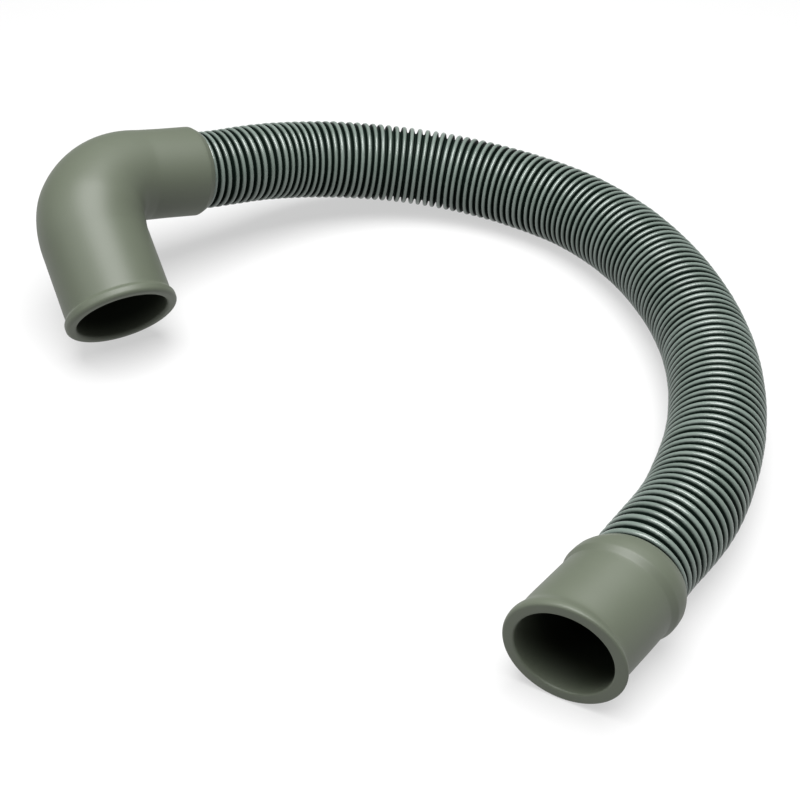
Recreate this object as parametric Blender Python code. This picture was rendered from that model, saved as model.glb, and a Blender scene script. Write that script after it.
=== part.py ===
# Dishwasher drain hose: a corrugated hose between two moulded rubber cuffs.
# Metres, +Z up. The part lies on the plane z = 0 as it comes to rest: the elbow cuff on its
# lip, the hose on its belly and the straight cuff on its lip and collar.
import math

import bpy
import numpy as np

# Corrugated hose
HOSE_DIAMETER = 0.0320          # over the crests of the rings
RING_DEPTH = 0.0024             # crest to valley, on the radius
RING_PITCH = 0.00325            # crest to crest along the hose
HOSE_BORE = 0.0246              # smooth inner bore
ELBOW_NECK_SHARE = 0.95         # the hose is drawn in to this share where it enters the elbow
ELBOW_NECK_LENGTH = 0.070       # length over which it comes back to its full diameter
STRAIGHT_NECK_SHARE = 0.945     # and the same at the straight cuff
STRAIGHT_NECK_LENGTH = 0.050
HOSE_SIDES = 16
BORE_STEP = 0.0150              # spacing of the sections of the bore

# What the hose ends sit in
SEAT_CLEARANCE = 0.0003
ELBOW_SEAT_DEPTH = 0.0200
STRAIGHT_SEAT_DEPTH = 0.0120

# Elbow cuff, from its hose end to its mouth
CUFF_SIDES = 24
ELBOW_MOUTH_PLACE = (-0.0873, -0.0115)
ELBOW_MOUTH_AZIMUTH = -30.5     # degrees, the way the mouth looks, seen from above
ELBOW_MOUTH_DIP = 33.8          # degrees below level
ELBOW_HOSE_AZIMUTH = 68.7       # degrees, the way the hose leaves, seen from above
ELBOW_HOSE_LEG = 0.0515         # corner of the two axes to the hose end
ELBOW_MOUTH_LEG = 0.0578        # corner of the two axes to the mouth
ELBOW_BEND_RADIUS = 0.0272
ELBOW_HOSE_WALL = 0.0012
ELBOW_SWELL = 0.0008            # the hose leg swells a little just behind its chamfer
ELBOW_SWELL_LENGTH = 0.0140     # hose end to where the swell has died away
ELBOW_CHAMFER = 0.0032
ELBOW_RIM_WALL = 0.0006         # wall left at the thin edge around the hose
ELBOW_BEND_SWELL = 0.0007       # the bend stands out a little past both legs
ELBOW_BEND_ROWS = 8
ELBOW_SOCKET_DIAMETER = 0.0338
ELBOW_SOCKET_DEPTH = 0.0280
ELBOW_SOCKET_WALL = 0.0028
ELBOW_LIP_HEIGHT = 0.0011       # how far the lip stands out of the leg
ELBOW_LIP_WIDTH = 0.0042
ELBOW_BORE = 0.0264             # way through the bend

# Straight cuff, from its hose end to its mouth
STRAIGHT_MOUTH_PLACE = (0.1191, -0.0646)
STRAIGHT_MOUTH_ASIDE = 5.5      # degrees, how far the mouth looks from -Y towards +X
STRAIGHT_MOUTH_TURN = 13.1      # degrees, the soft mouth is turned from the body
STRAIGHT_TURN_LENGTH = 0.0078   # length over which it turns
STRAIGHT_LENGTH = 0.0385
STRAIGHT_COLLAR_LENGTH = 0.0100
STRAIGHT_COLLAR_WALL = 0.0018
STRAIGHT_DOME_LENGTH = 0.0050   # the collar rounds down to its rim over this length
STRAIGHT_DOME_ROWS = 4
STRAIGHT_RIM_WALL = 0.0004      # wall left at the thin edge around the hose
STRAIGHT_STEP_LENGTH = 0.0025
STRAIGHT_SOCKET_DIAMETER = 0.0288
STRAIGHT_BODY_WALL = 0.0024
STRAIGHT_LIP_HEIGHT = 0.0013
STRAIGHT_LIP_WIDTH = 0.0030

# Edges of the two mouths
EDGE_ROUND = 0.0009             # rounding of the outer edge
EDGE_ROUND_ROWS = 3
BORE_CHAMFER = 0.0005           # chamfer of the inner edge

# Route of the hose between the cuffs: x, y and the height of its underside
ROUTE = [
    (-0.1002, 0.0854, 0.0159), (-0.0933, 0.1004, 0.0123), (-0.0837, 0.1139, 0.0092),
    (-0.0725, 0.1252, 0.0065), (-0.0600, 0.1344, 0.0043), (-0.0467, 0.1414, 0.0026),
    (-0.0328, 0.1462, 0.0013), (-0.0175, 0.1490, 0.0004), (-0.0019, 0.1494, 0.0),
    (0.0133, 0.1477, 0.0), (0.0278, 0.1436, 0.0), (0.0418, 0.1376, 0.0),
    (0.0551, 0.1298, 0.0), (0.0677, 0.1204, 0.0), (0.0796, 0.1095, 0.0),
    (0.0902, 0.0977, 0.0), (0.0996, 0.0848, 0.0), (0.1077, 0.0707, 0.0),
    (0.1143, 0.0558, 0.0), (0.1194, 0.0402, 0.0), (0.1227, 0.0242, 0.0),
    (0.1246, 0.0077, 0.0),
]

UP = np.array([0.0, 0.0, 1.0])


def unit(vector):
    return vector / np.linalg.norm(vector)


def clear_scene():
    for old in list(bpy.data.objects):
        bpy.data.objects.remove(old, do_unlink=True)


def make_material(name, colour, roughness):
    material = bpy.data.materials.new(name)
    material.use_nodes = True
    shader = material.node_tree.nodes["Principled BSDF"]
    shader.inputs["Base Color"].default_value = (*colour, 1.0)
    shader.inputs["Roughness"].default_value = roughness
    shader.inputs["Metallic"].default_value = 0.0
    return material


class Path:
    """A line through space, read by the distance along it. across is the direction that
    the sections keep as their own up."""

    def __init__(self, points, tangents, across):
        self.points = np.array(points, float)
        self.tangents = np.array([unit(t) for t in np.array(tangents, float)])
        steps = np.linalg.norm(np.diff(self.points, axis=0), axis=1)
        self.distance = np.concatenate([[0.0], np.cumsum(steps)])
        self.length = self.distance[-1]
        self.across = np.array(across, float)

    def at(self, distance):
        place = [np.interp(distance, self.distance, self.points[:, i]) for i in range(3)]
        tangent = unit(np.array([np.interp(distance, self.distance, self.tangents[:, i])
                                 for i in range(3)]))
        return np.array(place), tangent

    def section(self, distance, radius, sides):
        centre, tangent = self.at(distance)
        top = unit(self.across - tangent * np.dot(self.across, tangent))
        side = np.cross(tangent, top)
        angles = np.arange(sides) * 2 * math.pi / sides
        return centre + radius * (np.outer(np.cos(angles), top) + np.outer(np.sin(angles), side))

    def moved(self, shift):
        return Path(self.points + np.array(shift), self.tangents, self.across)


def joined(parts, across):
    points = [parts[0].points]
    tangents = [parts[0].tangents]
    for part in parts[1:]:
        points.append(part.points[1:])
        tangents.append(part.tangents[1:])
    return Path(np.concatenate(points), np.concatenate(tangents), across)


def straight_run(start, direction, length, across, pieces=12):
    run = np.linspace(0.0, length, pieces + 1)
    return Path(start + np.outer(run, direction), [direction] * (pieces + 1), across)


def arc_run(start, direction, towards, angle, length, across, pieces=48):
    """An arc that starts along direction and turns towards the other direction."""
    turn = np.linspace(0.0, angle, pieces + 1)
    radius = length / angle
    points = (start + np.outer(radius * np.sin(turn), direction)
              + np.outer(radius * (1.0 - np.cos(turn)), towards))
    tangents = np.outer(np.cos(turn), direction) + np.outer(np.sin(turn), towards)
    return Path(points, tangents, across)


def smooth_run(points, first, last, across, pieces=16):
    """A cubic spline through the points, with its direction given at both ends."""
    knots = np.array(points, float)
    count = len(knots)
    chord = np.linalg.norm(np.diff(knots, axis=0), axis=1)
    matrix = np.zeros((count, count))
    right = np.zeros((count, 3))
    matrix[0, 0] = matrix[-1, -1] = 1.0
    right[0], right[-1] = unit(first), unit(last)
    for i in range(1, count - 1):
        before, after = chord[i - 1], chord[i]
        matrix[i, i - 1:i + 2] = after, 2.0 * (before + after), before
        right[i] = 3.0 * (after / before * (knots[i] - knots[i - 1])
                          + before / after * (knots[i + 1] - knots[i]))
    slopes = np.linalg.solve(matrix, right)
    places, tangents = [], []
    for i in range(count - 1):
        last_piece = i == count - 2
        for t in np.linspace(0.0, 1.0, pieces + 1)[:None if last_piece else -1]:
            span = chord[i]
            places.append((2 * t**3 - 3 * t**2 + 1) * knots[i]
                          + (t**3 - 2 * t**2 + t) * span * slopes[i]
                          + (3 * t**2 - 2 * t**3) * knots[i + 1]
                          + (t**3 - t**2) * span * slopes[i + 1])
            tangents.append((6 * t**2 - 6 * t) / span * (knots[i] - knots[i + 1])
                            + (3 * t**2 - 4 * t + 1) * slopes[i]
                            + (3 * t**2 - 2 * t) * slopes[i + 1])
    return Path(places, tangents, across)


def edge_round(length, radius):
    """Profile points of the rounded outer edge of a mouth, from its side to its end face."""
    turn = np.linspace(0.0, math.pi / 2, EDGE_ROUND_ROWS)
    return [(length - EDGE_ROUND * (1 - math.sin(t)), radius - EDGE_ROUND * (1 - math.cos(t)))
            for t in turn]


def bore_edge(length, radius):
    """Profile points of the chamfered inner edge of a mouth."""
    return [(length - BORE_CHAMFER, radius), (length, radius + BORE_CHAMFER)]


def eased(share):
    """From 0 to 1, slow at both ends."""
    held = min(max(share, 0.0), 1.0)
    return held * held * (3.0 - 2.0 * held)


def tube_solid(name, path, outer, inner, sides, material):
    """A closed tube along a path. outer and inner list (distance, radius) in the same order."""
    profile = list(outer) + list(reversed(inner))
    rows = [path.section(distance, radius, sides) for distance, radius in profile]
    points = np.concatenate(rows)
    count = len(rows)
    faces = []
    for row in range(count):
        following = (row + 1) % count
        for i in range(sides):
            j = (i + 1) % sides
            faces.append((row * sides + i, row * sides + j,
                          following * sides + j, following * sides + i))
    mesh = bpy.data.meshes.new(name)
    mesh.from_pydata([tuple(p) for p in points], [], faces)
    mesh.validate()
    mesh.update()
    mesh.shade_smooth()
    mesh.set_sharp_from_angle(angle=math.radians(40))
    mesh.materials.append(material)
    solid = bpy.data.objects.new(name, mesh)
    bpy.context.scene.collection.objects.link(solid)
    return solid


def lowest(path, outer, sides):
    return min(path.section(distance, radius, sides)[:, 2].min() for distance, radius in outer)


def hose_radius(from_elbow, from_straight):
    """Crest radius of the hose, from its distances to the hose ends of the two cuffs."""
    at_elbow = ELBOW_NECK_SHARE + (1.0 - ELBOW_NECK_SHARE) * eased(from_elbow / ELBOW_NECK_LENGTH)
    at_straight = (STRAIGHT_NECK_SHARE
                   + (1.0 - STRAIGHT_NECK_SHARE) * eased(from_straight / STRAIGHT_NECK_LENGTH))
    return HOSE_DIAMETER / 2 * at_elbow * at_straight


def direction(azimuth, rise):
    level = math.cos(math.radians(rise))
    return np.array([level * math.cos(math.radians(azimuth)),
                     level * math.sin(math.radians(azimuth)),
                     math.sin(math.radians(rise))])


def elbow_path():
    """Axis of the elbow from its hose end to its mouth, set down on z = 0 later."""
    mouth = direction(ELBOW_MOUTH_AZIMUTH, -ELBOW_MOUTH_DIP)
    level = math.radians(ELBOW_HOSE_AZIMUTH)
    flat = np.array([math.cos(level), math.sin(level), 0.0])
    hose = unit(flat - UP * np.dot(flat, mouth) / mouth[2])
    mouth_centre = np.array([*ELBOW_MOUTH_PLACE, 0.0])
    corner = mouth_centre - mouth * ELBOW_MOUTH_LEG
    across = np.cross(mouth, hose)
    hose_run = ELBOW_HOSE_LEG - ELBOW_BEND_RADIUS
    mouth_run = ELBOW_MOUTH_LEG - ELBOW_BEND_RADIUS
    start = corner + hose * ELBOW_HOSE_LEG
    quarter = math.pi / 2
    parts = [
        straight_run(start, -hose, hose_run, across),
        arc_run(corner + hose * ELBOW_BEND_RADIUS, -hose, mouth, quarter,
                ELBOW_BEND_RADIUS * quarter, across),
        straight_run(corner + mouth * ELBOW_BEND_RADIUS, mouth, mouth_run, across),
    ]
    return joined(parts, across), hose_run


def elbow_profiles(length, hose_run):
    seat = HOSE_DIAMETER / 2 * ELBOW_NECK_SHARE + SEAT_CLEARANCE
    hose_leg = seat + ELBOW_HOSE_WALL
    socket = ELBOW_SOCKET_DIAMETER / 2
    mouth_leg = socket + ELBOW_SOCKET_WALL
    lip = mouth_leg + ELBOW_LIP_HEIGHT
    outer = [(0.0, seat + ELBOW_RIM_WALL),
             (ELBOW_CHAMFER, hose_leg + ELBOW_SWELL),
             ((ELBOW_CHAMFER + ELBOW_SWELL_LENGTH) / 2, hose_leg + ELBOW_SWELL / 2),
             (ELBOW_SWELL_LENGTH, hose_leg)]
    bend_length = ELBOW_BEND_RADIUS * math.pi / 2
    for row in range(ELBOW_BEND_ROWS):
        share = row / (ELBOW_BEND_ROWS - 1)
        swell = ELBOW_BEND_SWELL * math.sin(share * math.pi)
        outer.append((hose_run + bend_length * share,
                      hose_leg + (mouth_leg - hose_leg) * eased(share) + swell))
    lip_start = length - ELBOW_LIP_WIDTH
    outer += [(lip_start - ELBOW_LIP_HEIGHT, mouth_leg),
              (lip_start, mouth_leg + ELBOW_LIP_HEIGHT / 2),
              (lip_start + ELBOW_LIP_HEIGHT, lip)]
    outer += edge_round(length, lip)
    seat_end = ELBOW_SEAT_DEPTH + SEAT_CLEARANCE
    socket_end = length - ELBOW_SOCKET_DEPTH
    inner = [(0.0, seat), (seat_end, seat), (seat_end, ELBOW_BORE / 2)]
    for row in range(ELBOW_BEND_ROWS):
        share = row / (ELBOW_BEND_ROWS - 1)
        inner.append((hose_run + (socket_end - hose_run) * share, ELBOW_BORE / 2))
    inner += [(socket_end, socket)] + bore_edge(length, socket)
    return outer, inner


def straight_path(rise):
    """Axis of the straight cuff from its hose end to its mouth, rising by that many degrees."""
    azimuth = 90.0 + STRAIGHT_MOUTH_ASIDE
    inward = direction(azimuth, -rise)
    sideways = direction(azimuth - 90.0, 0.0)
    mouth_centre = np.array([*STRAIGHT_MOUTH_PLACE, 0.0])
    turn = math.radians(STRAIGHT_MOUTH_TURN)
    mouth = arc_run(mouth_centre, inward, sideways, turn, STRAIGHT_TURN_LENGTH, UP)
    body = straight_run(mouth.points[-1], mouth.tangents[-1], STRAIGHT_LENGTH - mouth.length, UP)
    back = joined([mouth, body], UP)
    return Path(back.points[::-1], -back.tangents[::-1], UP)


def straight_profiles(length):
    seat = HOSE_DIAMETER / 2 * STRAIGHT_NECK_SHARE + SEAT_CLEARANCE
    rim = seat + STRAIGHT_RIM_WALL
    collar = seat + STRAIGHT_COLLAR_WALL
    socket = STRAIGHT_SOCKET_DIAMETER / 2
    body = socket + STRAIGHT_BODY_WALL
    lip = body + STRAIGHT_LIP_HEIGHT
    step_end = STRAIGHT_COLLAR_LENGTH + STRAIGHT_STEP_LENGTH
    lip_start = length - STRAIGHT_LIP_WIDTH
    outer = []
    for row in range(STRAIGHT_DOME_ROWS):
        share = row / (STRAIGHT_DOME_ROWS - 1)
        outer.append((STRAIGHT_DOME_LENGTH * share,
                      rim + (collar - rim) * math.sin(share * math.pi / 2)))
    outer += [(STRAIGHT_COLLAR_LENGTH, collar), (step_end, body),
              ((step_end + lip_start) / 2, body),
              (lip_start - STRAIGHT_LIP_HEIGHT, body),
              (lip_start, body + STRAIGHT_LIP_HEIGHT / 2),
              (lip_start + STRAIGHT_LIP_HEIGHT, lip)]
    outer += edge_round(length, lip)
    stop = STRAIGHT_SEAT_DEPTH + SEAT_CLEARANCE
    inner = [(0.0, seat), (stop, seat), (stop, socket), ((stop + length) / 2, socket)]
    inner += bore_edge(length, socket)
    rise = math.degrees(math.asin((lip - collar) / (length - STRAIGHT_COLLAR_LENGTH / 2)))
    return outer, inner, rise


def hose_path(elbow, straight):
    """Axis of the hose: its seat in the elbow, the route, then its seat in the straight cuff."""
    leave, inward = elbow.at(0.0)
    arrive, onward = straight.at(0.0)
    in_elbow = straight_run(leave + inward * ELBOW_SEAT_DEPTH, -inward, ELBOW_SEAT_DEPTH, UP)
    radius = HOSE_DIAMETER / 2
    middle = [np.array([x, y, underside + radius]) for x, y, underside in ROUTE]
    free = smooth_run([leave, *middle, arrive], -inward, onward, UP)
    seat = np.linspace(0.0, STRAIGHT_SEAT_DEPTH, 9)
    held = [straight.at(s) for s in seat]
    in_straight = Path([place for place, _ in held], [tangent for _, tangent in held], UP)
    return joined([in_elbow, free, in_straight], UP)


def hose_profiles(length):
    def crest_radius(distance):
        return hose_radius(distance - ELBOW_SEAT_DEPTH, length - STRAIGHT_SEAT_DEPTH - distance)

    rings = round(length / RING_PITCH)
    pitch = length / rings
    outer = [(0.0, crest_radius(0.0) - RING_DEPTH)]
    for ring in range(rings):
        valley = (ring + 1) * pitch
        crest = valley - pitch / 2
        outer += [(crest, crest_radius(crest)), (valley, crest_radius(valley) - RING_DEPTH)]
    inner = []
    bore_rows = round(length / BORE_STEP)
    for row in range(bore_rows + 1):
        distance = length * row / bore_rows
        inner.append((distance, crest_radius(distance) * HOSE_BORE / HOSE_DIAMETER))
    return outer, inner


def build():
    clear_scene()
    rubber = make_material("sage_rubber", (0.155, 0.185, 0.135), 0.55)
    plastic = make_material("hose_plastic", (0.105, 0.135, 0.120), 0.38)

    elbow, hose_run = elbow_path()
    elbow_outer, elbow_inner = elbow_profiles(elbow.length, hose_run)
    elbow = elbow.moved((0.0, 0.0, -lowest(elbow, elbow_outer, CUFF_SIDES)))
    straight_outer, straight_inner, rise = straight_profiles(STRAIGHT_LENGTH)
    straight = straight_path(rise)
    straight = straight.moved((0.0, 0.0, -lowest(straight, straight_outer, CUFF_SIDES)))
    hose = hose_path(elbow, straight)
    hose_outer, hose_inner = hose_profiles(hose.length)

    tube_solid("elbow_cuff", elbow, elbow_outer, elbow_inner, CUFF_SIDES, rubber)
    tube_solid("straight_cuff", straight, straight_outer, straight_inner, CUFF_SIDES, rubber)
    tube_solid("corrugated_hose", hose, hose_outer, hose_inner, HOSE_SIDES, plastic)


build()
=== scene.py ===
import math

import bmesh
import bpy
import numpy as np
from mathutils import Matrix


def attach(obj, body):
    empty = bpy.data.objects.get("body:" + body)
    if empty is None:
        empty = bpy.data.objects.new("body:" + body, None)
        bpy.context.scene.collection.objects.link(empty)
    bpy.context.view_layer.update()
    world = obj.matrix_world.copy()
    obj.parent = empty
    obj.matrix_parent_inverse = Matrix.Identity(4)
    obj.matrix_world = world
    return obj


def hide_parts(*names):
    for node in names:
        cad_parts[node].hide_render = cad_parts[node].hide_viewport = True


# Drain hose of a dishwasher: a corrugated hose pushed into an elbow cuff and a straight cuff.
# Everything is in metres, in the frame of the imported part, and lies on z = 0.
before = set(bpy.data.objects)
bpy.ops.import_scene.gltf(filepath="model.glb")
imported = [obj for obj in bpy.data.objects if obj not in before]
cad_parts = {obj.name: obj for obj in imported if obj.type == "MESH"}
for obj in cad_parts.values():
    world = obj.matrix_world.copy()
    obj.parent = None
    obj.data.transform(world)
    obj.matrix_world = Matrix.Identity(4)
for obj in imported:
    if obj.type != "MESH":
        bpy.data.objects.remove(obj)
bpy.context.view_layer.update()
print("frame loaded:", ", ".join(sorted(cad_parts)))


# Camera, as the photograph was taken
cameraLook = {
    "place": (0.2011, -0.2706, 0.28288),
    "downTilt": 39.15,    # degrees below level
    "heading": 33.0,      # degrees, turned left from +Y
    "lens": 56.7,         # on a 36 mm sensor
}


def placeCamera(look):
    data = bpy.data.cameras.new("photoCamera")
    data.lens = look["lens"]
    data.sensor_width = 36.0
    data.clip_start = 0.01
    data.clip_end = 20.0
    camera = bpy.data.objects.new("photoCamera", data)
    camera.location = look["place"]
    camera.rotation_euler = (math.radians(90.0 - look["downTilt"]), 0.0, math.radians(look["heading"]))
    bpy.context.scene.collection.objects.link(camera)
    bpy.context.scene.camera = camera


placeCamera(cameraLook)
print("camera placed")


# Nodes from code: a wire is an output socket, and sums on wires add their Math nodes
class Wire:
    def __init__(self, board, socket):
        self.board = board
        self.socket = socket

    def other(self, name):
        return Wire(self.board, self.socket.node.outputs[name])

    def maths(self, operation, *values):
        sockets = dict(zip(("Value", "Value_001"), values))
        return self.board.add("ShaderNodeMath", {"operation": operation}, sockets)

    def __add__(self, other):
        return self.maths("ADD", self, other)

    def __radd__(self, other):
        return self.maths("ADD", other, self)

    def __sub__(self, other):
        return self.maths("SUBTRACT", self, other)

    def __rsub__(self, other):
        return self.maths("SUBTRACT", other, self)

    def __mul__(self, other):
        return self.maths("MULTIPLY", self, other)

    def __rmul__(self, other):
        return self.maths("MULTIPLY", other, self)

    def __truediv__(self, other):
        return self.maths("DIVIDE", self, other)

    def __pow__(self, other):
        return self.maths("POWER", self, other)

    def __lt__(self, other):
        return self.maths("LESS_THAN", self, other)

    def __gt__(self, other):
        return self.maths("GREATER_THAN", self, other)

    def __abs__(self):
        return self.maths("ABSOLUTE", self)

    def floor(self):
        return self.maths("FLOOR", self)

    def sin(self):
        return self.maths("SINE", self)

    def cos(self):
        return self.maths("COSINE", self)

    def held(self, low, high):
        return self.maths("MINIMUM", self.maths("MAXIMUM", self, low), high)

    def eased(self):    # 0 to 1, slow at both ends
        return self * self * (3.0 - 2.0 * self)


class Board:
    def __init__(self, tree):
        self.tree = tree

    def add(self, kind, settings=None, sockets=None):
        node = self.tree.nodes.new(kind)
        for name, value in (settings or {}).items():
            setattr(node, name, value)
        for name, value in (sockets or {}).items():
            socket = next((s for s in node.inputs if s.identifier == name), None) or node.inputs[name]
            wires = value if isinstance(value, list) else [value]
            if isinstance(wires[0], Wire):
                for wire in wires:
                    self.tree.links.new(wire.socket, socket)
            else:
                socket.default_value = value
        shown = [s for s in node.outputs if s.enabled]
        return Wire(self, shown[0]) if shown else None


up = np.array([0.0, 0.0, 1.0])


def unit(vector):
    return vector / np.linalg.norm(vector)


def headingOf(azimuth, rise):    # degrees from +X towards +Y, and above level
    level = math.cos(math.radians(rise))
    turn = math.radians(azimuth)
    return np.array([level * math.cos(turn), level * math.sin(turn), math.sin(math.radians(rise))])


# A line through space, read by the distance along it
class Track:
    def __init__(self, points, directions):
        self.points = np.array(points, float)
        self.directions = np.array([unit(d) for d in np.array(directions, float)])
        gaps = np.linalg.norm(np.diff(self.points, axis=0), axis=1)
        self.distance = np.concatenate([[0.0], np.cumsum(gaps)])
        self.length = self.distance[-1]

    def at(self, distance):
        place = np.array([np.interp(distance, self.distance, self.points[:, i]) for i in range(3)])
        heading = np.array([np.interp(distance, self.distance, self.directions[:, i]) for i in range(3)])
        return place, unit(heading)

    def ring(self, distance, radius, sides):
        centre, heading = self.at(distance)
        top = unit(up - heading * np.dot(up, heading))
        side = np.cross(heading, top)
        turn = np.arange(sides) * 2.0 * math.pi / sides
        return centre + radius * (np.outer(np.cos(turn), top) + np.outer(np.sin(turn), side))


def joinTracks(tracks):
    points = [tracks[0].points] + [t.points[1:] for t in tracks[1:]]
    directions = [tracks[0].directions] + [t.directions[1:] for t in tracks[1:]]
    return Track(np.concatenate(points), np.concatenate(directions))


def straightTrack(start, heading, length, pieces=12):
    run = np.linspace(0.0, length, pieces + 1)
    return Track(start + np.outer(run, heading), [heading] * (pieces + 1))


def arcTrack(start, heading, towards, turn, radius, pieces=32):
    angle = np.linspace(0.0, turn, pieces + 1)
    points = (start + np.outer(radius * np.sin(angle), heading)
              + np.outer(radius * (1.0 - np.cos(angle)), towards))
    directions = np.outer(np.cos(angle), heading) + np.outer(np.sin(angle), towards)
    return Track(points, directions)


def splineTrack(points, firstHeading, lastHeading, pieces=16):    # smooth, through all its points
    knots = np.array(points, float)
    count = len(knots)
    chord = np.linalg.norm(np.diff(knots, axis=0), axis=1)
    matrix = np.eye(count)
    right = np.zeros((count, 3))
    right[0], right[-1] = unit(firstHeading), unit(lastHeading)
    for i in range(1, count - 1):
        before, after = chord[i - 1], chord[i]
        matrix[i, i - 1:i + 2] = after, 2.0 * (before + after), before
        right[i] = 3.0 * (after / before * (knots[i] - knots[i - 1])
                          + before / after * (knots[i + 1] - knots[i]))
    slopes = np.linalg.solve(matrix, right)
    places, headings = [], []
    for i in range(count - 1):
        span = chord[i]
        for t in np.linspace(0.0, 1.0, pieces + 1)[(1 if i else 0):]:
            places.append((2 * t**3 - 3 * t**2 + 1) * knots[i] + (t**3 - 2 * t**2 + t) * span * slopes[i]
                          + (3 * t**2 - 2 * t**3) * knots[i + 1] + (t**3 - t**2) * span * slopes[i + 1])
            headings.append((6 * t**2 - 6 * t) / span * (knots[i] - knots[i + 1])
                            + (3 * t**2 - 4 * t + 1) * slopes[i] + (3 * t**2 - 2 * t) * slopes[i + 1])
    return Track(places, headings)


profileCare = {
    "flatAngle": 0.02,     # radians, a corner this near to straight isn't rounded
    "edgeShare": 0.49,     # the most of an edge that one rounding may take
    "stepAngle": 14.0,     # degrees between the points of a rounding
}


# A closed profile of (distance, radius, rounding) corners, with each corner rounded
def roundedProfile(corners, longest):
    spots = [np.array(c[:2], float) for c in corners]
    outline = []
    for i, (_, _, rounding) in enumerate(corners):
        corner = spots[i]
        back, ahead = spots[i - 1] - corner, spots[(i + 1) % len(spots)] - corner
        backLength, aheadLength = np.linalg.norm(back), np.linalg.norm(ahead)
        back, ahead = back / backLength, ahead / aheadLength
        between = math.acos(max(-1.0, min(1.0, float(np.dot(back, ahead)))))
        turn = math.pi - between
        if rounding <= 0.0 or turn < profileCare["flatAngle"]:
            outline.append(corner)
            continue
        most = profileCare["edgeShare"] * min(backLength, aheadLength)
        reach = min(rounding / math.tan(between / 2.0), most)
        radius = reach * math.tan(between / 2.0)
        centre = corner + unit(back + ahead) * radius / math.sin(between / 2.0)
        start, end = corner + back * reach - centre, corner + ahead * reach - centre
        steps = max(2, math.ceil(turn / math.radians(profileCare["stepAngle"])))
        for share in np.linspace(0.0, 1.0, steps + 1):
            outline.append(centre + (start * math.sin((1.0 - share) * turn)
                                     + end * math.sin(share * turn)) / math.sin(turn))
    filled = []
    for i, spot in enumerate(outline):
        following = outline[(i + 1) % len(outline)]
        parts = max(1, math.ceil(np.linalg.norm(following - spot) / longest))
        filled += [spot + (following - spot) * k / parts for k in range(parts)]
    return filled


# A closed tube: the profile goes out along the outer side and comes back along the bore
def sweptSolid(name, rows, profile, paintedShadeRun, material):
    sides = len(rows[0])
    faces = []
    for row in range(len(rows)):
        following = (row + 1) % len(rows)
        for i in range(sides):
            j = (i + 1) % sides
            faces.append((row * sides + i, row * sides + j, following * sides + j, following * sides + i))
    mesh = bpy.data.meshes.new(name)
    mesh.from_pydata(np.concatenate(rows).tolist(), [], faces)
    mesh.update()
    mesh.shade_smooth()
    mesh.materials.append(material)

    # how far each point lies inside the mouth, from 0 to 1, to paint shade there; across the thin rim at
    # the hose end it runs from 1 to 0, a painted dark line where the hose goes in
    distances = [distance for distance, _ in profile]
    length = max(distances)
    lipEnd = max(row for row, distance in enumerate(distances) if distance > length - 1e-6)
    depth = [min(1.0, (length - distance) / paintedShadeRun) if row > lipEnd else 0.0
             for row, distance in enumerate(distances)]
    mesh.attributes.new("boreDepth", "FLOAT", "POINT").data.foreach_set("value", np.repeat(depth, sides))
    solid = bpy.data.objects.new(name, mesh)
    bpy.context.scene.collection.objects.link(solid)
    return solid


def settle(rows):    # set down on the floor, and how far down that was
    drop = min(row[:, 2].min() for row in rows)
    return [row - np.array([0.0, 0.0, drop]) for row in rows], drop


# Sizes of the hose. The cuffs are made to fit it.
hoseSize = {
    "crestDiameter": 0.0320,
    "ringDepth": 0.0024,
    "ringPitch": 0.00325,
    "boreDiameter": 0.0246,
    "elbowNeckShare": 0.95,     # the hose is drawn in a little where it enters each cuff
    "elbowNeckLength": 0.070,
    "straightNeckShare": 0.945,
    "straightNeckLength": 0.050,
    "elbowSeat": 0.0200,    # how deep each end sits in its cuff
    "straightSeat": 0.0120,
    "seatPoints": 9,        # of the hose's centre line in the straight cuff
    "seatClearance": 0.0003,
    "crestHalfWidth": 0.30,     # share of the pitch, as the next two are
    "valleyHalfWidth": 0.13,
    "spacingPlay": 0.03,    # rings stand a little unevenly
    "heightPlay": 0.00008,
    "sides": 52,
    "seed": 7,
    "cordPoints": 90,       # of the cord path along the hose's centre line
}


def seatRadius(cuff):
    return hoseSize["crestDiameter"] / 2.0 * hoseSize[cuff + "NeckShare"] + hoseSize["seatClearance"]


def seatDepth(cuff):
    return hoseSize[cuff + "Seat"] + hoseSize["seatClearance"]


# Materials
rubberLook = {
    "colour": (0.071, 0.082, 0.060),
    "shade": (0.065, 0.075, 0.054),
    # painted shade: near black deep inside the mouths and on the rims where the hose goes in
    "bore": (0.008, 0.010, 0.006),
    "cloudSize": 18.0,
    "cloudFrom": 0.35,        # the cloud is spread out from here to cover 0 to 1
    "cloudContrast": 3.0,
    "cloudShare": 0.6,        # of the play in roughness, the rest is grain
    "grainSize": 1400.0,
    "grainDepth": 0.00003,
    "grainStrength": 0.6,
    "roughness": 0.48,
    "roughnessPlay": 0.08,
    "specular": 0.30,
    "boreShadeFall": 2.0,          # how fast the painted shade comes inside the mouth
}


def newMaterial(name):
    material = bpy.data.materials.new(name)
    material.use_nodes = True
    material.node_tree.nodes.clear()
    return material, Board(material.node_tree)


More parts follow.
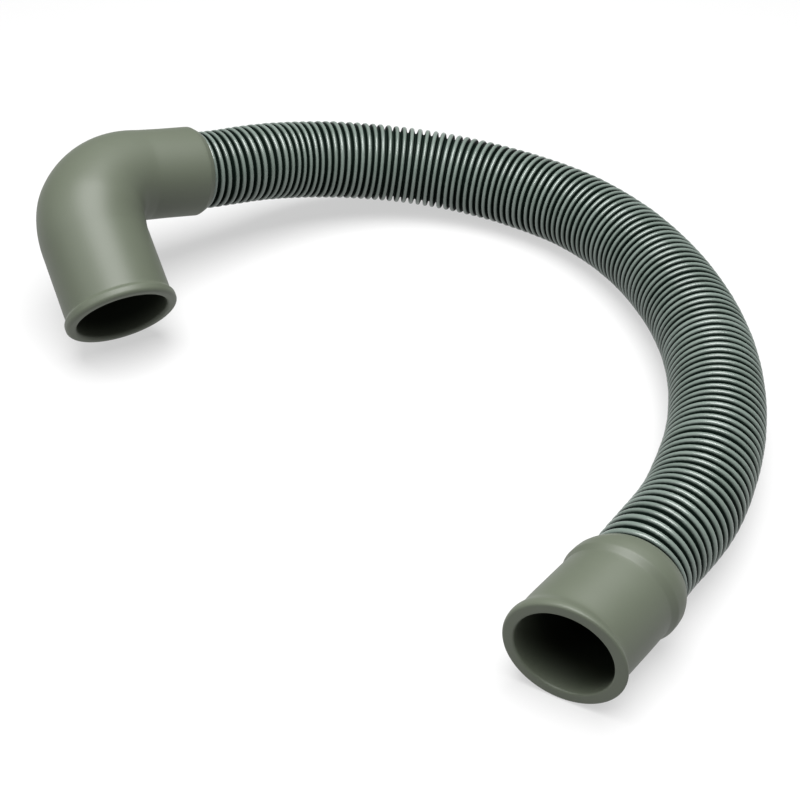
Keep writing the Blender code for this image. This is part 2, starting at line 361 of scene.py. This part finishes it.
def makeRubber(look):
    material, board = newMaterial("sageRubber")
    place = board.add("ShaderNodeTexCoord").other("Object")
    cloud = board.add("ShaderNodeTexNoise", {}, {
        "Vector": place, "Scale": look["cloudSize"], "Detail": 4.0, "Roughness": 0.55})
    grain = board.add("ShaderNodeTexNoise", {}, {
        "Vector": place, "Scale": look["grainSize"], "Detail": 2.0, "Roughness": 0.6})
    blotch = ((cloud - look["cloudFrom"]) * look["cloudContrast"]).held(0.0, 1.0)
    uneven = blotch * look["cloudShare"] + grain * (1.0 - look["cloudShare"]) - 0.5
    outside = board.add("ShaderNodeMix", {"data_type": "RGBA"}, {
        "Factor_Float": blotch, "A_Color": (*look["shade"], 1.0), "B_Color": (*look["colour"], 1.0)})
    # painted shade: the colour goes to near black deeper inside the mouths and on the hose-end rims
    depth = board.add("ShaderNodeAttribute", {"attribute_name": "boreDepth"}).other("Fac")
    colour = board.add("ShaderNodeMix", {"data_type": "RGBA"}, {
        "Factor_Float": 1.0 - (1.0 - depth) ** look["boreShadeFall"], "A_Color": outside,
        "B_Color": (*look["bore"], 1.0)})
    bump = board.add("ShaderNodeBump", {}, {
        "Strength": look["grainStrength"], "Distance": look["grainDepth"], "Height": grain})
    shader = board.add("ShaderNodeBsdfPrincipled", {}, {
        "Base Color": colour, "Roughness": look["roughness"] + look["roughnessPlay"] * uneven,
        "Normal": bump, "Specular IOR Level": look["specular"]})
    board.add("ShaderNodeOutputMaterial", {}, {"Surface": shader})
    return material


hoseLook = {
    "crest": (0.092, 0.116, 0.101),
    "crestLight": (0.107, 0.133, 0.118),
    # painted shade: the valleys between the rings are near black, with a rough shader that hardly
    # reflects
    "valley": (0.003, 0.007, 0.005),
    "litFrom": 0.64,          # height on the ring where the painted shade of the valley ends
    "litRun": 0.32,
    "streakPlay": 0.15,       # how unevenly it ends, along a ring and from ring to ring
    "tonePlay": 0.16,
    "roughness": 0.24,
    "roughnessPlay": 0.12,
    "specular": 0.45,
    "valleyRoughness": 0.60,
    "valleySpecular": 0.05,
    "streakSize": 260.0,
    "grainDepth": 0.00003,
    "grainStrength": 0.5,
}


def makeHosePlastic(look):
    material, board = newMaterial("greyGreenPlastic")
    place = board.add("ShaderNodeTexCoord").other("Object")
    height = board.add("ShaderNodeAttribute", {"attribute_name": "ringHeight"}).other("Fac")
    tone = board.add("ShaderNodeAttribute", {"attribute_name": "ringTone"}).other("Fac")
    streak = board.add("ShaderNodeTexNoise", {}, {
        "Vector": place, "Scale": look["streakSize"], "Detail": 3.0, "Roughness": 0.6})
    play = (streak - 0.5) * look["streakPlay"] + (tone - 0.5) * look["tonePlay"]
    # 1 on the crests, falling to 0 down the flanks, where the valley's painted shade takes over
    lit = ((height - look["litFrom"]) / look["litRun"] + play).held(0.0, 1.0).eased()
    worn = board.add("ShaderNodeMix", {"data_type": "RGBA"}, {
        "Factor_Float": tone, "A_Color": (*look["crest"], 1.0), "B_Color": (*look["crestLight"], 1.0)})
    bump = board.add("ShaderNodeBump", {}, {
        "Strength": look["grainStrength"], "Distance": look["grainDepth"], "Height": streak})
    crest = board.add("ShaderNodeBsdfPrincipled", {}, {
        "Base Color": worn, "Roughness": look["roughness"] + (streak - 0.5) * look["roughnessPlay"],
        "Normal": bump, "Specular IOR Level": look["specular"]})
    # painted shade: a near-black, dull shader for the valleys between the rings
    valley = board.add("ShaderNodeBsdfPrincipled", {}, {
        "Base Color": (*look["valley"], 1.0), "Roughness": look["valleyRoughness"],
        "Specular IOR Level": look["valleySpecular"]})
    surface = board.add("ShaderNodeMixShader", {}, {"Fac": lit, "Shader": valley, "Shader_001": crest})
    board.add("ShaderNodeOutputMaterial", {}, {"Surface": surface})
    return material


rubber = makeRubber(rubberLook)
hosePlastic = makeHosePlastic(hoseLook)
print("materials made")


# Elbow cuff, from its hose end to its mouth
elbow = {
    "mouthPlace": (-0.0873, -0.0115),
    "mouthAzimuth": -30.5,    # degrees, the way the mouth looks, seen from above
    "mouthDip": 33.8,         # degrees below level
    "hoseAzimuth": 68.7,      # degrees, the way the hose leaves
    "hoseLeg": 0.0515,        # corner of the two axes to the hose end
    "mouthLeg": 0.0578,       # corner of the two axes to the mouth
    "bendRadius": 0.0272,
    "cornerPinch": 0.0042,    # how much sharper the inner corner is than the bend
    "pinchFall": 1.5,         # how fast that dies away towards the outer bend
    "hoseWall": 0.0017,
    "swell": 0.0002,          # the hose leg stands out a little behind its chamfer
    "swellShare": 0.6,        # of the hose leg, up to the bend
    "chamfer": 0.0025,
    "rimWall": 0.0006,
    "bendSwell": 0.0007,      # the bend stands out a little past both legs
    "bendSwellShare": 0.7,    # the share of the bend where it is widest
    "socketDiameter": 0.0338,
    "socketDepth": 0.0280,
    "socketWall": 0.0028,
    "lipHeight": 0.0011,
    "lipWidth": 0.0042,
    "lipSlope": 0.9,          # the back of the lip, along it for each step out
    "boreDiameter": 0.0264,
    "paintedShadeRun": 0.008,         # how far into the mouth the painted shade comes
    "sides": 96,
    "longestStep": 0.0016,
}


def elbowAxes(e):
    mouth = headingOf(e["mouthAzimuth"], -e["mouthDip"])
    level = headingOf(e["hoseAzimuth"], 0.0)
    hose = unit(level - up * np.dot(level, mouth) / mouth[2])
    corner = np.array([*e["mouthPlace"], 0.0]) - mouth * e["mouthLeg"]
    return corner, hose, mouth


def elbowRuns(e):    # the straight of the hose leg, and the bend
    return e["hoseLeg"] - e["bendRadius"], e["bendRadius"] * math.pi / 2.0


# Each line along the bend has its own rounding, so the inner corner is sharper than the outer bend
def elbowRing(e, axes, distance, radius):
    corner, hose, mouth = axes
    across = np.cross(mouth, hose)
    hoseRun, bendLength = elbowRuns(e)
    turn = np.arange(e["sides"]) * 2.0 * math.pi / e["sides"]
    points = []
    for angle in turn:
        inner, aside = radius * math.cos(angle), radius * math.sin(angle)
        if distance <= hoseRun:
            spot = corner + hose * (e["hoseLeg"] - distance) + mouth * inner
        elif distance >= hoseRun + bendLength:
            spot = corner + mouth * (e["bendRadius"] + distance - hoseRun - bendLength) + hose * inner
        else:
            share = (distance - hoseRun) / bendLength
            pinch = e["cornerPinch"] * max(0.0, math.cos(angle)) ** e["pinchFall"]
            rounding = e["bendRadius"] - inner - pinch
            arc = rounding * math.pi / 2.0
            gone = share * (2.0 * pinch + arc)
            if gone < pinch:
                spot = corner + mouth * inner + hose * (e["bendRadius"] - gone)
            elif gone > pinch + arc:
                spot = corner + hose * inner + mouth * (inner + rounding + gone - pinch - arc)
            else:
                swing = (gone - pinch) / rounding
                spot = (corner + (inner + rounding) * (hose + mouth)
                        - rounding * (mouth * math.cos(swing) + hose * math.sin(swing)))
        points.append(spot + across * aside)
    return np.array(points)


def makeElbow(e, material):
    axes = elbowAxes(e)
    seat = seatRadius("elbow")
    leg = seat + e["hoseWall"]
    socket = e["socketDiameter"] / 2.0
    mouthLeg = socket + e["socketWall"]
    lip = mouthLeg + e["lipHeight"]
    hoseRun, bendLength = elbowRuns(e)
    length = hoseRun + bendLength + e["mouthLeg"] - e["bendRadius"]
    seatEnd = seatDepth("elbow")
    socketEnd = length - e["socketDepth"]
    lipStart = length - e["lipWidth"]
    bore = e["boreDiameter"] / 2.0
    corners = [    # distance from the hose end, radius, rounding
        (0.0, seat + e["rimWall"], 0.0005),
        (e["chamfer"], leg + e["swell"], 0.0012),
        (hoseRun * e["swellShare"], leg, 0.0300),
        (hoseRun, leg, 0.0200),
        (hoseRun + bendLength * e["bendSwellShare"], mouthLeg + e["bendSwell"], 0.0300),
        (hoseRun + bendLength, mouthLeg, 0.0300),
        (lipStart, mouthLeg, 0.0022),
        (lipStart + e["lipHeight"] * e["lipSlope"], lip, 0.0016),
        (length, lip, 0.0015),
        (length, socket, 0.0013),
        (socketEnd, socket, 0.0006),
        (socketEnd, bore, 0.0010),
        (seatEnd, bore, 0.0004),
        (seatEnd, seat, 0.0003),
        (0.0, seat, 0.0003),
    ]
    profile = roundedProfile(corners, e["longestStep"])
    rows, drop = settle([elbowRing(e, axes, distance, radius) for distance, radius in profile])
    cuff = sweptSolid("elbowCuffRubber", rows, profile, e["paintedShadeRun"], material)
    corner, hose, _ = axes
    hoseEnd = corner + hose * e["hoseLeg"] - up * drop
    return cuff, hoseEnd, hose


elbowCuff, elbowHoseEnd, elbowHoseHeading = makeElbow(elbow, rubber)
print("elbow cuff made, its hose end is at", np.round(elbowHoseEnd, 5))


# Straight cuff, from its hose end to its mouth. It lies on its lip and its collar.
straight = {
    "mouthPlace": (0.1191, -0.0646),
    "mouthAside": 5.5,        # degrees, how far the mouth looks from -Y towards +X
    "mouthTurn": 13.1,        # degrees, the soft mouth is turned from the body
    "turnLength": 0.0078,
    "length": 0.0363,
    "collarSkew": 9.0,        # degrees, the soft collar stands askew on the body
    "collarSkewLength": 0.0100,
    "collarLength": 0.0078,
    "collarWall": 0.0024,
    "collarDome": [(0.15, 0.35, 0.0030), (0.50, 0.96, 0.0080)],    # shares of length and rise, rounding
    "rimWall": 0.0004,
    "stepLength": 0.0020,
    "socketDiameter": 0.0288,
    "bodyWall": 0.0024,
    "bodyPieces": 48,
    "lipHeight": 0.0013,
    "lipWidth": 0.0030,
    "lipSlope": 0.9,
    # how far into the mouth the painted shade comes
    "paintedShadeRun": 0.014,
    "sides": 96,
    "longestStep": 0.0016,
}


def straightAxis(s, rise):
    azimuth = 90.0 + s["mouthAside"]
    inward, sideways = headingOf(azimuth, -rise), headingOf(azimuth - 90.0, 0.0)
    turn = math.radians(s["mouthTurn"])
    start = np.array([*s["mouthPlace"], 0.0])
    mouth = arcTrack(start, inward, sideways, turn, s["turnLength"] / turn)
    bodyLength = s["length"] - mouth.length
    body = straightTrack(mouth.points[-1], mouth.directions[-1], bodyLength, s["bodyPieces"])

    # the rings of the collar turn on their centres, and the axis stays straight
    plain = body.length - s["collarLength"] - s["collarSkewLength"]
    gone = np.clip((body.distance - plain) / s["collarSkewLength"], 0.0, 1.0)
    skew = math.radians(s["collarSkew"]) * gone * gone * (3.0 - 2.0 * gone)
    aside = inward * math.sin(turn) - sideways * math.cos(turn)
    body.directions = np.outer(np.cos(skew), body.directions[0]) + np.outer(np.sin(skew), aside)
    back = joinTracks([mouth, body])
    return Track(back.points[::-1], -back.directions[::-1])


def makeStraight(s, material):
    seat = seatRadius("straight")
    collar = seat + s["collarWall"]
    rim = seat + s["rimWall"]
    socket = s["socketDiameter"] / 2.0
    body = socket + s["bodyWall"]
    lip = body + s["lipHeight"]
    rise = math.degrees(math.asin((lip - collar) / (s["length"] - s["collarLength"] / 2.0)))
    axis = straightAxis(s, rise)
    lipStart = axis.length - s["lipWidth"]
    stop = seatDepth("straight")
    stepEnd = s["collarLength"] + s["stepLength"]
    corners = [    # distance from the hose end, radius, rounding
        (0.0, rim, 0.0003),
        *[(s["collarLength"] * along, rim + (collar - rim) * out, rounding)
          for along, out, rounding in s["collarDome"]],
        (s["collarLength"], collar, 0.0018),
        (stepEnd, body, 0.0014),
        (lipStart - s["lipHeight"], body, 0.0030),
        (lipStart + s["lipHeight"] * s["lipSlope"], lip, 0.0020),
        (axis.length, lip, 0.0011),
        (axis.length, socket, 0.0007),
        (stop, socket, 0.0005),
        (stop, seat, 0.0003),
        (0.0, seat, 0.00015),
    ]
    profile = roundedProfile(corners, s["longestStep"])
    rows, drop = settle([axis.ring(distance, radius, s["sides"]) for distance, radius in profile])
    cuff = sweptSolid("straightCuffRubber", rows, profile, s["paintedShadeRun"], material)
    return cuff, Track(axis.points - up * drop, axis.directions)


straightCuff, straightLine = makeStraight(straight, rubber)
print("straight cuff made")


# Corrugated hose. The route has the height of the underside of the hose.
hoseRoute = [
    (-0.1002, 0.0854, 0.0159), (-0.0933, 0.1004, 0.0123), (-0.0837, 0.1139, 0.0092),
    (-0.0725, 0.1252, 0.0065), (-0.0600, 0.1344, 0.0043), (-0.0467, 0.1414, 0.0026),
    (-0.0328, 0.1462, 0.0013), (-0.0175, 0.1490, 0.0004), (-0.0019, 0.1494, 0.0),
    (0.0133, 0.1477, 0.0), (0.0278, 0.1436, 0.0), (0.0418, 0.1376, 0.0),
    (0.0551, 0.1298, 0.0), (0.0677, 0.1204, 0.0), (0.0796, 0.1095, 0.0),
    (0.0902, 0.0977, 0.0), (0.0996, 0.0848, 0.0), (0.1077, 0.0707, 0.0),
    (0.1143, 0.0558, 0.0), (0.1194, 0.0402, 0.0), (0.1227, 0.0242, 0.0),
    (0.1246, 0.0077, 0.0),
]


def hoseTrack():
    end, onward = straightLine.at(0.0)
    start = elbowHoseEnd - elbowHoseHeading * hoseSize["elbowSeat"]
    inElbow = straightTrack(start, elbowHoseHeading, hoseSize["elbowSeat"])
    radius = hoseSize["crestDiameter"] / 2.0
    middle = [np.array([x, y, underside + radius]) for x, y, underside in hoseRoute]
    free = splineTrack([elbowHoseEnd, *middle, end], elbowHoseHeading, onward)
    seat = np.linspace(0.0, hoseSize["straightSeat"], hoseSize["seatPoints"])
    held = [straightLine.at(distance) for distance in seat]
    inStraight = Track([place for place, _ in held], [heading for _, heading in held])
    return joinTracks([inElbow, free, inStraight])


def trackCurve(name, track):
    data = bpy.data.curves.new(name, "CURVE")
    data.dimensions = "3D"
    line = data.splines.new("POLY")
    line.points.add(len(track.points) - 1)
    for spot, place in zip(line.points, track.points):
        spot.co = (*place, 1.0)
    curve = bpy.data.objects.new(name, data)
    bpy.context.scene.collection.objects.link(curve)
    return curve


# The points of one ring: 3 to 9 go over the crest, 10 and 11 and the next 0 to 2 round the valley
ringSteps = {
    "all": 12,
    "crestMiddle": 6.0,
    "crestReach": 3.5,
    "crestTurn": math.pi / 6.0,     # the angle from one point to the next
    "valleyTurn": math.pi / 4.0,
    "nudge": 0.001,                 # keeps a whole number whole when it is rounded down
}


def drawnIn(size, along, length):    # the share of its full width that the hose has there
    share = 1.0
    for cuff, fromEnd in (("Elbow", along), ("Straight", length - along)):
        eased = ((fromEnd - size[cuff + " Seat"]) / size[cuff + " Neck Length"]).held(0.0, 1.0).eased()
        share = share * (size[cuff + " Neck Share"] + (1.0 - size[cuff + " Neck Share"]) * eased)
    return share


def ringTree():
    tree = bpy.data.node_groups.new("corrugatedRings", "GeometryNodeTree")
    tree.interface.new_socket(name="Geometry", in_out="OUTPUT", socket_type="NodeSocketGeometry")
    tree.interface.new_socket(name="Geometry", in_out="INPUT", socket_type="NodeSocketGeometry")
    kinds = {
        "Float": ("Crest Diameter", "Ring Depth", "Ring Pitch", "Crest Half Width", "Valley Half Width",
                  "Bore Diameter", "Elbow Neck Share", "Elbow Neck Length", "Elbow Seat",
                  "Straight Neck Share", "Straight Neck Length", "Straight Seat", "Spacing Play",
                  "Height Play"),
        "Int": ("Sides", "Seed"),
        "Material": ("Material",),
    }
    for kind, names in kinds.items():
        for name in names:
            tree.interface.new_socket(name=name, in_out="INPUT", socket_type="NodeSocket" + kind)
    board = Board(tree)
    path = board.add("NodeGroupInput")
    size = {name: path.other(name) for names in kinds.values() for name in names}

    # the ring and the step on it, from the number of the point
    length = board.add("GeometryNodeCurveLength", {}, {"Curve": path})
    rings = (length / size["Ring Pitch"] + 0.5).floor()
    pitch = length / rings
    index = board.add("GeometryNodeInputIndex")
    ring = (index / ringSteps["all"] + ringSteps["nudge"]).floor()
    step = index - ring * ringSteps["all"]
    chance = {"data_type": "FLOAT"}
    spacing = board.add("FunctionNodeRandomValue", chance, {
        "Min_001": -1.0, "Max_001": 1.0, "ID": ring, "Seed": size["Seed"]})
    rise = board.add("FunctionNodeRandomValue", chance, {
        "Min_001": -1.0, "Max_001": 0.0, "ID": ring, "Seed": size["Seed"] + 1})
    tone = board.add("FunctionNodeRandomValue", chance, {
        "Min_001": 0.0, "Max_001": 1.0, "ID": ring, "Seed": size["Seed"] + 2})

    # the crest is half a circle, the valley is a smaller one
    fromCrest = step - ringSteps["crestMiddle"]
    onCrest = abs(fromCrest) < ringSteps["crestReach"]
    pastCrest = fromCrest > 0.5    # these go with the valley of the next ring
    crestTurn = fromCrest * ringSteps["crestTurn"]
    valleyTurn = (step - ringSteps["all"] * pastCrest) * ringSteps["valleyTurn"]
    crestRound = size["Crest Half Width"] * pitch
    valleyRound = size["Valley Half Width"] * pitch
    crestAlong = 0.5 * pitch + crestRound * crestTurn.sin() + spacing * size["Spacing Play"] * pitch
    valleyAlong = pastCrest * pitch + valleyRound * valleyTurn.sin()
    along = ring * pitch + onCrest * crestAlong + (1.0 - onCrest) * valleyAlong
    crestDown = crestRound * (1.0 - crestTurn.cos())
    valleyDown = size["Ring Depth"] - valleyRound * (1.0 - valleyTurn.cos())
    down = onCrest * (crestDown - rise * size["Height Play"]) + (1.0 - onCrest) * valleyDown
    crestRadius = size["Crest Diameter"] * 0.5 * drawnIn(size, along, length)

    # the outer skin: one long line of points on the path, each with its radius
    line = board.add("GeometryNodeResampleCurve", {"mode": "COUNT"}, {
        "Curve": path, "Count": rings * ringSteps["all"] + 1.0})
    spot = board.add("GeometryNodeSampleCurve", {"mode": "LENGTH"}, {"Curves": path, "Length": along})
    placed = board.add("GeometryNodeSetPosition", {}, {
        "Geometry": line, "Position": spot.other("Position")})
    named = {"data_type": "FLOAT", "domain": "POINT"}
    withHeight = board.add("GeometryNodeStoreNamedAttribute", named, {
        "Geometry": placed, "Name": "ringHeight", "Value": 1.0 - down / size["Ring Depth"]})
    withTone = board.add("GeometryNodeStoreNamedAttribute", named, {
        "Geometry": withHeight, "Name": "ringTone", "Value": tone})
    upright = board.add("GeometryNodeSetCurveNormal", {"mode": "Z_UP"}, {"Curve": withTone})
    circle = board.add("GeometryNodeCurvePrimitiveCircle", {"mode": "RADIUS"}, {
        "Resolution": size["Sides"], "Radius": 1.0})
    skin = board.add("GeometryNodeCurveToMesh", {}, {
        "Curve": upright, "Profile Curve": circle, "Scale": crestRadius - down})

    # the bore: a plain tube inside, turned inwards
    boreLine = board.add("GeometryNodeResampleCurve", {"mode": "COUNT"}, {"Curve": path, "Count": rings})
    boreUpright = board.add("GeometryNodeSetCurveNormal", {"mode": "Z_UP"}, {"Curve": boreLine})
    boreAlong = board.add("GeometryNodeSplineParameter").other("Length")
    boreRadius = size["Bore Diameter"] * 0.5 * drawnIn(size, boreAlong, length)
    bore = board.add("GeometryNodeCurveToMesh", {}, {
        "Curve": boreUpright, "Profile Curve": circle, "Scale": boreRadius})
    inside = board.add("GeometryNodeFlipFaces", {}, {"Mesh": bore})
    both = board.add("GeometryNodeJoinGeometry", {}, {"Geometry": [skin, inside]})
    smooth = board.add("GeometryNodeSetShadeSmooth", {}, {"Geometry": both})
    real = board.add("GeometryNodeRealizeInstances", {}, {"Geometry": smooth})
    dressed = board.add("GeometryNodeSetMaterial", {}, {"Geometry": real, "Material": size["Material"]})
    board.add("NodeGroupOutput", {}, {"Geometry": dressed})
    return tree


def inputName(key):    # "ringPitch" is the input "Ring Pitch"
    return "".join(" " + letter if letter.isupper() else letter for letter in key).title()


def plainMesh(curve, tree, values, name):
    modifier = curve.modifiers.new("rings", "NODES")
    modifier.node_group = tree
    for item in tree.interface.items_tree:
        if item.in_out == "INPUT" and item.name in values:
            modifier[item.identifier] = values[item.name]
    bpy.context.view_layer.update()
    evaluated = curve.evaluated_get(bpy.context.evaluated_depsgraph_get())
    mesh = bpy.data.meshes.new_from_object(evaluated)
    mesh.name = name
    bpy.data.objects.remove(curve)
    piece = bpy.data.objects.new(name, mesh)
    bpy.context.scene.collection.objects.link(piece)
    return piece


def closeEnds(piece, track):    # joins the skin to the bore with a flat ring at each end
    work = bmesh.new()
    work.from_mesh(piece.data)
    for place in (track.points[0], track.points[-1]):
        rim = [edge for edge in work.edges if edge.is_boundary
               and np.linalg.norm(np.array(edge.verts[0].co) - place) < hoseSize["crestDiameter"]]
        bmesh.ops.bridge_loops(work, edges=rim)
    work.to_mesh(piece.data)
    work.free()
    piece.data.shade_smooth()


def makeHose(h, material):
    track = hoseTrack()
    values = {inputName(key): value for key, value in h.items()}
    values["Material"] = material
    hose = plainMesh(trackCurve("hosePath", track), ringTree(), values, "corrugatedHoseRings")
    closeEnds(hose, track)
    return hose, track


hose, hoseLine = makeHose(hoseSize, hosePlastic)
print("hose made:", len(hose.data.polygons), "faces, centre line", round(hoseLine.length, 4), "m")


# Each piece rides on the part and stands for its solid
for piece, node, slotName in ((elbowCuff, "elbow_cuff", "cuff_rubber"),
                              (straightCuff, "straight_cuff", "cuff_rubber"),
                              (hose, "corrugated_hose", "hose_plastic")):
    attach(piece, "root")
    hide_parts(node)
cordRun = np.linspace(0.0, hoseLine.length, hoseSize["cordPoints"])
cordPath = [hoseLine.at(distance)[0].tolist() for distance in cordRun]
print("pieces placed on the part")


# Floor and light
studio = {
    "floorSize": 6.0,
    "floorDrop": 0.00005,     # under the object, so that nothing touches it
    "floorColour": (0.18, 0.18, 0.18),
    "floorRoughness": 0.7,
    "floorSpecular": 0.2,
    "glowColour": (1.0, 1.0, 1.0),
    "floorGlow": 0.56,        # lit from below like a light table, so the shadows stay pale
    "skyColour": (1.0, 1.0, 1.0),
    "skyStrength": 0.25,
    "lamps": [
        {"name": "overheadSoftbox", "place": (0.06, 0.0, 1.10), "aim": (0.0, 0.03, 0.0),
         "size": 0.9, "power": 37.0},
        {"name": "frontSoftbox", "place": (-0.45, -0.75, 0.75), "aim": (0.0, 0.03, 0.02),
         "size": 0.6, "power": 3.0},
    ],
}


def makeFloor(s):
    half, height = s["floorSize"] / 2.0, -s["floorDrop"]
    mesh = bpy.data.meshes.new("paleFloor")
    corners = [(x * half, y * half, height) for x, y in ((-1, -1), (1, -1), (1, 1), (-1, 1))]
    mesh.from_pydata(corners, [], [(0, 1, 2, 3)])
    floor = bpy.data.objects.new("paleFloor", mesh)
    bpy.context.scene.collection.objects.link(floor)
    material, board = newMaterial("paleFloor")
    shader = board.add("ShaderNodeBsdfPrincipled", {}, {
        "Base Color": (*s["floorColour"], 1.0), "Roughness": s["floorRoughness"],
        "Specular IOR Level": s["floorSpecular"], "Emission Color": (*s["glowColour"], 1.0),
        "Emission Strength": s["floorGlow"]})
    board.add("ShaderNodeOutputMaterial", {}, {"Surface": shader})
    mesh.materials.append(material)


def makeLights(s):
    world = bpy.data.worlds.new("paleRoom")
    world.use_nodes = True
    world.node_tree.nodes.clear()
    board = Board(world.node_tree)
    sky = board.add("ShaderNodeBackground", {}, {
        "Color": (*s["skyColour"], 1.0), "Strength": s["skyStrength"]})
    board.add("ShaderNodeOutputWorld", {}, {"Surface": sky})
    bpy.context.scene.world = world
    for lamp in s["lamps"]:
        data = bpy.data.lights.new(lamp["name"], "AREA")
        data.shape = "SQUARE"
        data.size = lamp["size"]
        data.energy = lamp["power"]
        light = bpy.data.objects.new(lamp["name"], data)
        light.location = lamp["place"]
        away = np.array(lamp["place"]) - np.array(lamp["aim"])
        flat = math.hypot(away[0], away[1])
        light.rotation_euler = (math.atan2(flat, away[2]), 0.0, math.atan2(away[0], -away[1]))
        bpy.context.scene.collection.objects.link(light)


makeFloor(studio)
makeLights(studio)
bpy.context.scene.view_settings.view_transform = "Standard"
print("floor and light made")
